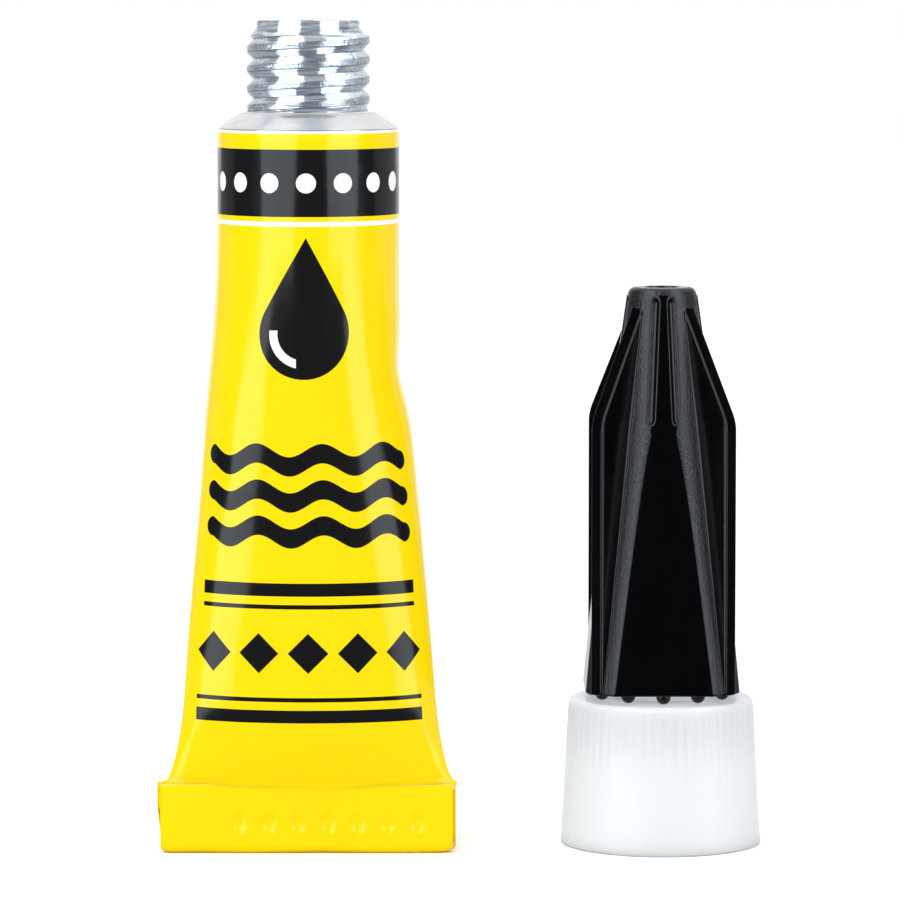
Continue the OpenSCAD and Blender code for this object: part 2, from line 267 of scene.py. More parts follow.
def bell(value, middle, spread):
    return np.exp(-((value - middle) / spread) ** 2)


def wrap(turn, period):
    """A turn brought within half a period of zero."""
    return (turn + period / 2) % period - period / 2


def roughness_field(seed, shape, passes):
    """Even random heights from -1 to 1 that are blurred round the form and along it."""
    field = np.random.default_rng(seed).uniform(-1, 1, shape)
    for _ in range(passes):
        field = (np.roll(field, 1, axis=1) + field + np.roll(field, -1, axis=1)) / 3
        field = (np.roll(field, 1, axis=0) + field + np.roll(field, -1, axis=0)) / 3
    return field / np.abs(field).max()


# Mesh helpers

class Shape:
    """Points and faces that are gathered for one mesh."""

    def __init__(self):
        self.points = []
        self.faces = []
        self.finishes = []
        self.count = 0

    def add(self, points, faces, finishes=0):
        faces = [[index + self.count for index in face] for face in faces]
        self.points.append(points)
        self.faces += faces
        self.finishes += list(np.broadcast_to(finishes, len(faces)))
        self.count += len(points)

    def add_rings(self, rings, closed=False, finishes=0):
        """Quads between neighbouring rings; a closed form also joins its last ring to its first."""
        rows, columns = rings.shape[:2]
        column = np.arange(columns)
        after = np.roll(column, -1)
        faces = []
        for row in range(rows if closed else rows - 1):
            low = row * columns
            high = (row + 1) % rows * columns
            faces += np.stack([low + column, low + after, high + after, high + column], 1).tolist()
        if not closed:
            faces.append(column[::-1].tolist())
            faces.append((column + (rows - 1) * columns).tolist())
            finishes = np.append(np.broadcast_to(finishes, len(faces) - 2), [0, 0])
        self.add(rings.reshape(-1, 3), faces, finishes)


def make_piece(name, shape, axis, materials, body, nodes):
    """An object with outward faces that rides on a body and stands for CAD nodes."""
    mesh = bpy.data.meshes.new(name)
    points = np.concatenate(shape.points) * MM + axis
    mesh.from_pydata(points.tolist(), [], shape.faces)
    mesh.polygons.foreach_set("material_index", np.array(shape.finishes, dtype=np.int32))
    work = bmesh.new()
    work.from_mesh(mesh)
    bmesh.ops.recalc_face_normals(work, faces=work.faces)
    work.to_mesh(mesh)
    work.free()
    mesh.polygons.foreach_set("use_smooth", np.ones(len(mesh.polygons), dtype=bool))
    mesh.set_sharp_from_angle(angle=SHARP_EDGE)
    for material in materials:
        mesh.materials.append(material)
    piece = bpy.data.objects.new(name, mesh)
    bpy.context.scene.collection.objects.link(piece)
    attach(piece, body)
    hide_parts(*nodes)
    piece.visible_glossy = body != "tube"
    return piece


def map_print(piece, across, up):
    """Lays the print's own map on a mesh, with the seam at the back kept whole."""
    mesh = piece.data
    corners = np.empty(len(mesh.loops), dtype=np.int32)
    mesh.loops.foreach_get("vertex_index", corners)
    starts = np.empty(len(mesh.polygons), dtype=np.int32)
    mesh.polygons.foreach_get("loop_start", starts)
    totals = np.empty(len(mesh.polygons), dtype=np.int32)
    mesh.polygons.foreach_get("loop_total", totals)
    u = across[corners]
    furthest = np.repeat(np.maximum.reduceat(u, starts), totals)
    u = np.where(furthest - u > GIRTH / 2, u + GIRTH, u)
    layer = mesh.uv_layers.new(name=PRINT_MAP)
    layer.data.foreach_set("uv", np.stack([u, up[corners]], axis=1).ravel())


def turned(radii, heights, turns):
    """Rings of a turned form, with a radius and a height for each ring or each point."""
    radii, heights, turns = np.broadcast_arrays(radii, heights, turns)
    return np.stack([radii * np.sin(turns), -radii * np.cos(turns), heights], axis=2)


def profile_rings(profile, turns):
    """Rings for a list of radius and height pairs."""
    profile = np.array(profile)
    return turned(profile[:, :1], profile[:, 1:], turns)


def corner(radius, height, size, start, end, steps=5):
    """Radius and height pairs of a rounded corner, between two directions in degrees."""
    angles = np.radians(np.linspace(start, end, steps))
    return [(radius + size * math.cos(a), height + size * math.sin(a)) for a in angles]


def thread(turns, heights, pitch, root=ROOT_SHARE):
    """Share of a right-hand thread's depth, from 0 in the groove to 1 on the crest. Crest and root
    end at shares of the pitch from the middle of the ridge."""
    away = np.abs(wrap(heights / pitch - turns / FULL_TURN, 1.0))
    return np.clip((root - away) / (root - CREST_SHARE), 0, 1)


# Tube body and its print

def half_depth(h, tip, closing):
    """Half depth of the body at a height above the fold, where it closes to a tip."""
    wedge = WEDGE_DEPTH / 2 + (ROUND_HALF_DEPTH - WEDGE_DEPTH / 2) * h / ROUND_FROM
    full = soft_min(wedge, ROUND_HALF_DEPTH, ROUNDING)
    reach = 1 - np.clip(h / CLOSING_H, 0, 1)
    return tip + (full - tip) * (1 - reach * reach) ** closing


def half_width(depth):
    """Half width that keeps the girth at a half depth, by halving the interval."""
    low = np.full_like(depth, TUBE_D / 4)
    high = np.full_like(depth, TUBE_D)
    for _ in range(30):
        middle = (low + high) / 2
        root = np.sqrt((3 * middle + depth) * (middle + 3 * depth))
        girth = math.pi * (3 * (middle + depth) - root)
        low = np.where(girth > GIRTH, low, middle)
        high = np.where(girth > GIRTH, middle, high)
    return (low + high) / 2


def dents(across, z):
    """How far the thin wall stands out from its even form after filling and handling."""
    side_dent = -0.26 * bell(across, 9.3, 2.0) * bell(z, 31.0, 1.8)
    side_swell = 0.08 * bell(across, 9.3, 2.4) * bell(z, 26.8, 2.2)
    front_flat = -0.1 * bell(across, 3.2, 3.4) * bell(z, 27.5, 5.0)
    left_flat = -0.08 * bell(across, -5.2, 2.6) * bell(z, 21.0, 7.0)
    waves = 0.018 * np.sin(across * 1.1 + z * 0.16) * np.sin(z * 0.31 + 0.7 * across)
    return side_dent + side_swell + front_flat + left_flat + waves


def body_rings(heights, grow):
    """Rings of the body with their places on the print, grown outwards by an amount."""
    turns = FULL_TURN * np.arange(TUBE_COLUMNS) / TUBE_COLUMNS
    h = heights[:, None]
    to_rim = np.clip((h - BODY_H + RIM_H) / RIM_H, 0, 1) ** 2
    rim = SHOULDER_R - SHOULDER_SEAT
    front = half_depth(h, FRONT_TIP, FRONT_CLOSING)
    back = half_depth(h, BACK_TIP, SIDE_CLOSING)
    middle = half_depth(h, (FRONT_TIP + BACK_TIP) / 2, SIDE_CLOSING)
    width = half_width(middle) * (1 - to_rim) + rim * to_rim
    depth = np.where(np.cos(turns) > 0, front, back) * (1 - to_rim) + rim * to_rim
    pointed = 1 + 0.2 * (1 - smooth(h, 1.0, 20.0))
    x = width * np.sin(turns)
    y = -depth * np.sign(np.cos(turns)) * np.abs(np.cos(turns)) ** pointed
    steps = np.hypot(np.roll(x, -1, axis=1) - x, np.roll(y, -1, axis=1) - y)
    across = np.cumsum(steps, axis=1) - steps
    across = wrap(across * GIRTH / steps.sum(axis=1, keepdims=True), GIRTH)
    z = np.broadcast_to(h + FOLD_H, x.shape)
    normal = np.stack([np.sin(turns) / width, -np.cos(turns) / depth], axis=2)
    normal /= np.linalg.norm(normal, axis=2, keepdims=True)
    swell = grow + dents(across, z) * (1 - to_rim) * smooth(h, 0.0, 2.5)
    bow = -0.18 * bell(z, 31.0, 6.0) * (1 - to_rim)
    points = np.stack([x + normal[..., 0] * swell + bow, y + normal[..., 1] * swell, z], axis=2)
    return points, across


def make_enamel(material):
    """The printed coat on the body, as a thin closed sleeve."""
    closing = CLOSING_H * np.linspace(0, 1, 26) ** 2 - TUCK_H * np.linspace(1, 0, 26)
    wall = np.linspace(CLOSING_H, BODY_H - RIM_H, 96)[1:]
    edge = np.linspace(BODY_H - RIM_H, BODY_H - SHOULDER_SEAT, 8)[1:]
    outside = np.concatenate([closing, wall, edge])
    inside = outside[::-4]
    outer, outer_across = body_rings(outside, COAT_GAP + COAT_T)
    inner, inner_across = body_rings(inside, COAT_GAP)
    rings = np.concatenate([outer, inner])
    shape = Shape()
    shape.add_rings(rings, closed=True)
    piece = make_piece(
        "tube_enamel", shape, TUBE_AXIS, [material], "tube", ["enamel_coat"]
    )
    across = np.concatenate([outer_across, inner_across])
    map_print(piece, across.ravel(), rings[..., 2].ravel())
    piece.visible_diffuse = False


def tight_bend(steps):
    """Points of a half turn of radius 1 whose corners are squarer than a circle's."""
    points = []
    for angle in np.linspace(0, math.pi, steps):
        out = math.cos(angle)
        points.append((math.copysign(abs(out) ** 0.75, out), math.sin(angle) ** 0.75))
    return points


def fold_path():
    """Middle line of the folded layers, from the web down, round, up and tucked in: y and z."""
    foot_z = FOLD_PITCH + FOLD_LAYER_T / 2 - 0.05
    top_z = FOLD_H - (FOLD_PITCH + FOLD_LAYER_T) / 2
    web = [(0.0, z) for z in np.linspace(FOLD_H, foot_z, 14)[:-1]]
    foot = [(FOLD_PITCH * (out - 1), foot_z - FOLD_PITCH * down) for out, down in tight_bend(21)]
    front = [(-2 * FOLD_PITCH, z) for z in np.linspace(foot_z, top_z, 44)[1:-1]]
    half = FOLD_PITCH / 2
    top = [(-3 * half - half * out, top_z + half * up) for out, up in tight_bend(21)]
    tuck = [(-FOLD_PITCH, z) for z in np.linspace(top_z, foot_z + FOLD_LAYER_T, 10)[1:]]
    return np.array(web + foot + front + top + tuck)


def fold_section():
    """The fold's outline as y and z, how far forward each point lies, and 1 on its front face."""
    path = fold_path()
    along = np.gradient(path, axis=0)
    along /= np.linalg.norm(along, axis=1, keepdims=True)
    sideways = np.stack([-along[:, 1], along[:, 0]], axis=1) * FOLD_LAYER_T / 2
    section = np.concatenate([path + sideways, (path - sideways)[::-1]])
    forward = np.concatenate([path[:, 0], path[::-1, 0]]) / (-2 * FOLD_PITCH)
    front_face = np.concatenate([np.ones(len(path)), np.zeros(len(path))]) * (forward > 0.9)
    return section, forward, front_face


def press_depth(x, z):
    """How deep the row of ovals is pressed into the fold."""
    aside = wrap(x - PRESS_X, PRESS_PITCH)
    from_oval = np.hypot(aside / PRESS_HALF_W, (z - PRESS_Z) / PRESS_HALF_H)
    oval = (1 - smooth(from_oval, 0.3, 1.0)) * (np.abs(x - PRESS_X) < PRESS_ROW_HALF)
    return PRESS_DEPTH * oval


def make_fold(material):
    """The flattened end, folded forwards and tucked in once more, with a row of pressed ovals."""
    section, forward, front_face = fold_section()
    share = np.linspace(0, 1, FOLD_STATIONS)[:, None]
    to_front = smooth(forward, 0.1, 0.8)
    left = FOLD_LEFT - FOLD_LUG * (1 - to_front) * smooth(section[:, 1], 2.6, 3.0)
    right = FOLD_RIGHT - FOLD_STEP * to_front
    x = left + (right - left) * share
    y = np.broadcast_to(section[:, 0], x.shape)
    z = np.broadcast_to(section[:, 1], x.shape)
    from_end = np.minimum(x - left, right - x)
    ripple = 0.02 * np.sin(x * 0.9 + 0.6) + 0.01 * np.sin(x * 2.3)
    pressed = press_depth(x, z) - FOLD_BULGE * np.sin(math.pi * share)
    y = y + front_face * pressed + ripple * smooth(forward, 0.2, 0.9)
    foot_lift = 0.05 + 0.03 * np.sin(x * 0.75 + 1.0) + 0.28 * np.exp(-from_end / 0.22)
    z = np.maximum(z + foot_lift * (1 - smooth(z, 0.0, 1.1)) - 0.04, 0.0)
    top_dip = 0.06 * np.sin(x * 0.55 + 0.4) * smooth(z, 3.2, 4.4) * smooth(forward, 0.3, 0.8)
    rings = np.stack([x, y, z - np.abs(top_dip)], axis=2)
    shape = Shape()
    shape.add_rings(rings)
    piece = make_piece(
        "folded_end", shape, TUBE_AXIS, [material], "tube", ["enamel_coat"]
    )
    map_print(piece, x.ravel(), rings[..., 2].ravel())


def shoulder_profile():
    """Radius and height pairs from the body's rim to the foot of the neck."""
    profile = [(SHOULDER_R - 0.02, SHOULDER_Z - 0.01), (SHOULDER_R, SHOULDER_Z + 0.03)]
    profile += [(5.3, SHOULDER_Z + 0.33), (4.7, SHOULDER_Z + 0.72), (4.3, SHOULDER_Z + 0.98)]
    profile += [(NECK_R + 0.13, NECK_Z - 0.06), (NECK_R + 0.02, NECK_Z)]
    return profile


def mouth_profile():
    """Radius and height pairs over the neck's lip, down its bore and under the shoulder."""
    profile = [(LEAD_R + 0.1, NECK_TOP_Z - LEAD_H + 0.08)]
    profile += corner(LEAD_R - 0.1, NECK_TOP_Z - 0.1, 0.1, 0, 90)
    profile += corner(NECK_BORE_R + 0.08, NECK_TOP_Z - 0.08, 0.08, 90, 180)
    profile += [(NECK_BORE_R, NECK_TOP_Z - 0.6), (NECK_BORE_R, NECK_Z - 0.1)]
    profile += [(SHOULDER_R - SHOULDER_T, SHOULDER_Z - 0.05)]
    return profile


def neck_form(turns, heights):
    """Radii of the neck's worn thread, how rough each of its points is, and how dark: dirt on the
    ridges' edges and painted shade in the groove roots.
    """
    share = thread(turns, heights - NECK_THREAD_START, NECK_PITCH, NECK_ROOT_SHARE)
    foot = 1 - smooth(heights, NECK_Z + 0.1, NECK_Z + 0.6)
    side = np.sin(turns) ** 2
    chips = (roughness_field(11, share.shape, 5) - 1) * (0.01 + 0.03 * side)
    cut = NECK_THREAD_DEPTH * (1 - share) * (1 - 0.6 * foot)
    radii = NECK_R - cut + chips * smooth(share, 0.6, 1.0)
    lead_in = smooth(heights, NECK_TOP_Z - LEAD_H - 0.42, NECK_TOP_Z - LEAD_H)
    radii = radii + (np.minimum(radii, LEAD_R + 0.12) - radii) * lead_in
    # The rough sides and crests also carry the material's painted glints
    rough = smooth(share, 0.7, 1.0) * (1 - lead_in) * 0.15 + 0.6 * smooth(side, 0.3, 0.7)
    # Dark marks on the thread: dirt on the ridges' edges, and painted shade in the groove roots
    dirt_and_shade = (bell(share, 0.94, 0.07) + 0.6 * bell(share, 0.0, 0.1)) * (1 - lead_in)
    return radii, rough, dirt_and_shade


def add_layer(piece, name, values, first):
    """Writes values on a run of a mesh's points, from the first one on, and 0 on the others."""
    whole = np.zeros(len(piece.data.vertices), dtype=np.float32)
    whole[first:first + values.size] = values.ravel()
    layer = piece.data.attributes.new(name, "FLOAT", "POINT")
    layer.data.foreach_set("value", whole)


def make_metal(material):
    """The bare shoulder and threaded neck, in one piece with the wall under the enamel."""
    turns = FULL_TURN * np.arange(TUBE_COLUMNS) / TUBE_COLUMNS
    outer, _ = body_rings(np.linspace(0.4, BODY_H - SHOULDER_SEAT, 48), 0.0)
    shoulder = profile_rings(shoulder_profile(), turns)
    heights = np.linspace(NECK_Z + 0.03, NECK_TOP_Z - LEAD_H, 180)[:, None]
    radii, rough, dirt_and_shade = neck_form(turns, heights)
    neck = turned(radii, heights, turns)
    mouth = profile_rings(mouth_profile(), turns)
    inner, _ = body_rings(np.linspace(BODY_H - RIM_H, 0.7, 24), -TUBE_WALL)
    shape = Shape()
    shape.add_rings(np.concatenate([outer, shoulder, neck, mouth, inner]))
    piece = make_piece(
        "tube_metal", shape, TUBE_AXIS, [material], "tube", ["tube_shell"]
    )
    neck_start = TUBE_COLUMNS * (len(outer) + len(shoulder))
    add_layer(piece, RIDGE, rough, neck_start)
    add_layer(piece, EDGE, dirt_and_shade, neck_start)


def make_glue(material):
    """The glue inside the body, filled to its level."""
    rings, _ = body_rings(np.linspace(0.6, GLUE_LEVEL, 60), -TUBE_WALL - GLUE_GAP)
    shape = Shape()
    shape.add_rings(rings)
    make_piece("glue_body", shape, TUBE_AXIS, [material], "tube", ["glue_fill"])


# Nozzle

def collar_rings(turns):
    """Rings of the collar's outside, with fine ribs that fade out towards its foot."""
    profile = [(COLLAR_FOOT_R - 0.12, 0.0), (COLLAR_FOOT_R - 0.03, 0.04), (COLLAR_FOOT_R, 0.14)]
    slope = (COLLAR_FOOT_R - COLLAR_TOP_R) / COLLAR_H
    profile += [(COLLAR_FOOT_R - slope * z, z) for z in np.linspace(0.6, COLLAR_H - 0.8, 22)]
    edge_z = COLLAR_H - COLLAR_EDGE
    profile += corner(COLLAR_TOP_R - COLLAR_EDGE, edge_z, COLLAR_EDGE, 0, 90, 9)
    heights = np.array(profile)[:, 1:]
    rib = np.abs(np.cos(turns * COLLAR_RIBS / 2)) ** 6
    ribbed = smooth(heights, 2.0, 8.0) * (1 - smooth(heights, COLLAR_H - 0.5, COLLAR_H - 0.1))
    rings = profile_rings(profile, turns)
    rings[..., :2] *= 1 - COLLAR_RIB_SHARE * (ribbed * rib)[..., None]
    return rings


def spout_rings(turns):
    """Rings of the spout's thread, its tip, the channel inside it and the spike at its foot."""
    heights = np.linspace(COLLAR_H + 0.02, SPOUT_THREAD_Z - THREAD_DEPTH, 44)[:, None]
    cut = 1 - thread(turns, heights - COLLAR_H - SPOUT_THREAD_START, SPOUT_PITCH)
    radii = SPOUT_R - THREAD_DEPTH * cut * smooth(heights, COLLAR_H + 0.25, COLLAR_H + 0.75)
    profile = [(SPOUT_NECK_R, SPOUT_THREAD_Z), (1.85, 21.0)]
    profile += corner(SPOUT_TIP_R - 0.12, SPOUT_TOP_Z - 0.12, 0.12, 0, 90)
    profile += [(CHANNEL_R, SPOUT_TOP_Z), (CHANNEL_R, 17.0), (CHANNEL_R, SPIKE_TIP_Z)]
    profile += [(CHANNEL_R + 0.15, SPIKE_TIP_Z), (1.5, SOCKET_TOP_Z), (SOCKET_R, SOCKET_TOP_Z)]
    return np.concatenate([turned(radii, heights, turns), profile_rings(profile, turns)])


def socket_rings(turns):
    """Rings of the thread in the neck's socket, from its top down to the collar's foot."""
    heights = np.linspace(SOCKET_TOP_Z - 0.1, SOCKET_SEAT_H, 72)[:, None]
    cut = thread(turns, heights - SOCKET_SEAT_H, NECK_PITCH)
    radii = SOCKET_R + THREAD_DEPTH * cut * (1 - smooth(heights, 5.6, 6.2))
    foot = [(SOCKET_ENTRY_R, SOCKET_SEAT_H - 0.02), (SOCKET_SEAT_R, 0.0)]
    return np.concatenate([turned(radii, heights, turns), profile_rings(foot, turns)])


def make_nozzle(material):
    """The ribbed collar with its socket, spike and channel, and the threaded spout in the cap."""
    turns = FULL_TURN * np.arange(NOZZLE_COLUMNS) / NOZZLE_COLUMNS
    rings = np.concatenate([collar_rings(turns), spout_rings(turns), socket_rings(turns)])
    shape = Shape()
    shape.add_rings(rings, closed=True)
    make_piece(
        "nozzle_moulding", shape, NOZZLE_AXIS, [material], "nozzle", ["nozzle"]
    )


# Cap

def cone_r(h):
    return CAP_BASE_R - CONE_DROP * h


def panel_r(h):
    return PANEL_REACH - PANEL_DROP * h


def fin_r(h):
    return soft_min(FIN_REACH + 0 * h, FIN_REACH - FIN_SLANT * (h - FIN_STRAIGHT_H), 0.3)


def groove_side(h):
    """Distance of a groove's middle from the middle of the rib over a panel."""
    share = np.clip((h - GROOVE_FOOT_H) / (GROOVE_TOP_H - GROOVE_FOOT_H), 0, 1)
    return RIB_FOOT_HALF + (RIB_TOP_HALF - RIB_FOOT_HALF) * share + GROOVE_R


def cap_distances(reach, turn, h):
    """Distances outside the cone, a panel's plane, the nearest groove and the nearest fin."""
    panel_turn = wrap(turn, FULL_TURN / 4)
    out = reach * np.cos(panel_turn)
    side = np.abs(reach * np.sin(panel_turn))
    past_end = np.maximum(GROOVE_FOOT_H - h, 0) + np.maximum(h - GROOVE_TOP_H, 0)
    from_groove = (side - groove_side(h)) ** 2 + (reach - cone_r(h)) ** 2 + past_end ** 2
    groove = np.sqrt(from_groove) - GROOVE_R
    fin_turn = wrap(turn - FULL_TURN / 8, FULL_TURN / 4)
    past_face = reach * np.cos(fin_turn) - fin_r(h) + FIN_EDGE
    past_side = np.abs(reach * np.sin(fin_turn)) - FIN_HALF_T + FIN_EDGE
    beyond = np.hypot(np.maximum(past_face, 0), np.maximum(past_side, 0))
    fin = beyond + np.minimum(np.maximum(past_face, past_side), 0) - FIN_EDGE
    return reach - cone_r(h), out - panel_r(h), groove, fin


def cap_distance(reach, turn, h):
    """Distance outside the cap's whole outer form, with its edges rounded."""
    cone, panel, groove, fin = cap_distances(reach, turn, h)
    core = soft_max(soft_max(cone, panel, 0.1), -groove, 0.07)
    return soft_min(core, fin, 0.12)


def cap_reach(turn, h):
    """Distance of the outer form from the axis, by halving the interval."""
    low = np.full(turn.shape, 1.0)
    high = np.full(turn.shape, 7.0)
    for _ in range(30):
        middle = (low + high) / 2
        inside = cap_distance(middle, turn, h) < 0
        low = np.where(inside, middle, low)
        high = np.where(inside, high, middle)
    return (low + high) / 2


def cap_turns(h):
    """Turns of the columns at each height, closer at the edges of panels, grooves and fins."""
    radius = cone_r(h)
    panel_half = np.sqrt(np.maximum(radius ** 2 - panel_r(h) ** 2, RIB_FOOT_HALF ** 2))
    to_groove = smooth(h, GROOVE_FOOT_H - 1.5, GROOVE_FOOT_H)
    edge = panel_half * (1 - to_groove) + groove_side(h) * to_groove
    fin_outer = np.maximum(fin_r(h), radius + 0.15)
    window = 0.34
    edge_start = np.arcsin((edge - window) / radius)
    edge_end = np.arcsin((edge + window) / radius)
    eighth = FULL_TURN / 8
    root = eighth - np.arcsin(FIN_HALF_T / radius)
    fillet = root - np.arcsin(0.2 / radius)

    def between(start, end, count):
        return start + (end - start) * np.linspace(0, 1, count, endpoint=False)

    wall = eighth - np.arcsin(FIN_HALF_T / between(radius, fin_outer - FIN_EDGE, 10))
    corner_start = eighth - np.arcsin(FIN_HALF_T / (fin_outer - FIN_EDGE))
    corner_end = eighth - np.arctan((FIN_HALF_T - FIN_EDGE) / fin_outer)
    half = np.concatenate([
        between(0 * radius, edge_start, 5), between(edge_start, edge_end, 14),
        between(edge_end, fillet, 7), between(fillet, root, 4), wall,
        between(corner_start, corner_end, 5), between(corner_end, eighth + 0 * radius, 3),
        eighth + 0 * radius
    ], axis=1)
    quarter = np.concatenate([-half[:, -2:0:-1], half], axis=1)
    return np.concatenate([quarter + k * FULL_TURN / 4 for k in range(4)], axis=1)


def cap_heights():
    """Heights of the outer form's rings, close together at the feet of the grooves."""
    return np.concatenate([
        [0.08, 0.2], np.linspace(0.4, GROOVE_FOOT_H - 0.8, 60),
        np.linspace(GROOVE_FOOT_H - 0.72, GROOVE_FOOT_H + 0.8, 28),
        np.linspace(GROOVE_FOOT_H + 0.95, CAP_H - CAP_EDGE - 0.05, 48)
    ])[:, None]


def is_polished(reach, turns, heights):
    """Whether points of the outer form lie on the polished fins, panels and ribs."""
    cone, panel, _, fin = cap_distances(reach, turns, heights)
    side = np.abs(reach * np.sin(wrap(turns, FULL_TURN / 4)))
    on_rib = (side < groove_side(heights)) & (heights > GROOVE_FOOT_H - 1)
    return (fin < 0.03) | (panel > cone) | on_rib


def top_profile():
    """Radius and height pairs over the cap's top, into its recess and down its hollow."""
    profile = corner(CAP_TOP_R - CAP_EDGE, CAP_H - CAP_EDGE, CAP_EDGE, 8, 90, TOP_STEPS)
    profile += corner(RECESS_R + 0.1, CAP_H - 0.1, 0.1, 90, 180, 4)
    profile += [(RECESS_R, RECESS_H + 0.05), (RECESS_R - 0.05, RECESS_H), (PIN_HOLE_R, RECESS_H)]
    profile += [(PIN_HOLE_R, CAVITY_H), (CAVITY_TOP_R, CAVITY_H), (2.6, 10.0)]
    profile += [(CAVITY_RELIEF_R, CAVITY_THREAD_H + THREAD_DEPTH)]
    profile += [(CAVITY_RELIEF_R, CAVITY_THREAD_H)]
    return profile


def hollow_rings(turns):
    """Rings of the thread in the cap's hollow and of its wider mouth."""
    heights = np.linspace(CAVITY_THREAD_H - 0.02, LEAD_IN_H, 24)[:, None]
    cut = thread(turns, heights + 0.1, SPOUT_PITCH)
    bore = turned(CAVITY_BORE_R + THREAD_DEPTH * cut, heights, turns)
    mouth = [(CAVITY_RELIEF_R, LEAD_IN_H - 0.05), (CAVITY_RELIEF_R, 0.0)]
    return np.concatenate([bore, profile_rings(mouth, turns)])


def face_finishes(shine):
    """1 for each face between rings that has two or more polished corners, and 0 for the others."""
    below = np.roll(shine, -1, axis=0)
    polished_corners = shine + below + np.roll(shine, -1, axis=1) + np.roll(below, -1, axis=1)
    return (polished_corners >= 2).astype(int).ravel()


def nub_rings(turn):
    """Rings of a round nub under the cap's rim."""
    rises = np.linspace(-0.98, 0.98, 11) * math.pi / 2
    steps = FULL_TURN * np.arange(20) / 20
    place = np.array([NUB_REACH * math.sin(turn), -NUB_REACH * math.cos(turn), NUB_H])
    return turned(NUB_R * np.cos(rises)[:, None], NUB_R * np.sin(rises)[:, None], steps) + place


def make_cap(matt, gloss):
    """The finned cap: leaning panels, ribs between grooves, a recess on top and a hollow inside."""
    heights = cap_heights()
    turns = cap_turns(heights)
    reach = cap_reach(turns, heights)
    foot = turned(reach[:1] - 0.07, 0.0 * heights[:1], turns[:1])
    outer = turned(reach, heights, turns)
    top = profile_rings(top_profile(), turns[-1:])
    rings = np.concatenate([foot, outer, top, hollow_rings(turns[:1])])
    top_start = 1 + len(heights)
    shine = np.ones(rings.shape[:2])
    shine[1:top_start] = is_polished(reach, turns, heights)
    shine[top_start:top_start + TOP_STEPS] = 0
    lift = np.array([0, 0, RIM_Z])
    shape = Shape()
    shape.add_rings(rings + lift, closed=True, finishes=face_finishes(shine))
    for k in range(NUB_COUNT):
        shape.add_rings(nub_rings(FULL_TURN * k / NUB_COUNT) + lift, finishes=1)
    piece = make_piece(
        "cap_moulding", shape, NOZZLE_AXIS, [matt, gloss], "cap", ["cap"]
    )
    piece.visible_diffuse = False


# Materials

class Surface:
    """A node material, with short ways to add nodes and to join them."""

    def __init__(self, name, settings):
        self.material = bpy.data.materials.new(name)
        self.material.use_nodes = True
        self.tree = self.material.node_tree
        self.shader = self.tree.nodes["Principled BSDF"]
        for socket, value in settings.items():
            self.shader.inputs[socket].default_value = value

    def put(self, socket, value):
        """Joins a socket to another one, or sets a plain value on it."""
        if isinstance(value, bpy.types.NodeSocket):
            self.tree.links.new(value, socket)
        else:
            socket.default_value = value

    def math(self, operation, *values):
        node = self.tree.nodes.new("ShaderNodeMath")
        node.operation = operation
        for socket, value in zip(node.inputs, values):
            self.put(socket, value)
        return node.outputs[0]

    def mix(self, share, first, second):
        node = self.tree.nodes.new("ShaderNodeMix")
        node.data_type = "RGBA"
        self.put(node.inputs[0], share)
        self.put(node.inputs[6], first)
        self.put(node.inputs[7], second)
        return node.outputs[2]

    def noise(self, per_mm, detail=3.0, stretch=(1, 1, 1)):
        """Noise with a number of cells in a millimetre, drawn out where stretch is small."""
        place = self.tree.nodes.new("ShaderNodeTexCoord")
        mapping = self.tree.nodes.new("ShaderNodeMapping")
        mapping.inputs["Scale"].default_value = [1000 * per_mm * share for share in stretch]
        self.tree.links.new(place.outputs["Object"], mapping.inputs["Vector"])
        node = self.tree.nodes.new("ShaderNodeTexNoise")
        node.inputs["Scale"].default_value = 1.0
        node.inputs["Detail"].default_value = detail
        self.tree.links.new(mapping.outputs["Vector"], node.inputs["Vector"])
        return node.outputs["Fac"]

    def layer(self, name):
        """Values that a mesh carries on its points."""
        node = self.tree.nodes.new("ShaderNodeAttribute")
        node.attribute_name = name
        return node.outputs["Fac"]

    def height(self):
        """Height above the table, in metres."""
        place = self.tree.nodes.new("ShaderNodeTexCoord")
        parts = self.tree.nodes.new("ShaderNodeSeparateXYZ")
        self.tree.links.new(place.outputs["Object"], parts.inputs["Vector"])
        return parts.outputs["Z"]

    def fade(self, value, low, high):
        """0 below low, 1 above high and an S curve between them."""
        node = self.tree.nodes.new("ShaderNodeMapRange")
        node.interpolation_type = "SMOOTHSTEP"
        self.put(node.inputs["Value"], value)
        node.inputs["From Min"].default_value = low
        node.inputs["From Max"].default_value = high
        return node.outputs["Result"]

    def span(self, value, low, high):
        """Stretches a value from 0 to 1 onto another range."""
        return self.math("MULTIPLY_ADD", value, high - low, low)

    def bump(self, height, depth_mm):
        node = self.tree.nodes.new("ShaderNodeBump")
        node.inputs["Strength"].default_value = 1.0
        node.inputs["Distance"].default_value = depth_mm * MM
        self.put(node.inputs["Height"], height)
        self.tree.links.new(node.outputs["Normal"], self.shader.inputs["Normal"])

    def feed(self, **sources):
        for socket, value in sources.items():
            self.put(self.shader.inputs[socket.replace("_", " ")], value)


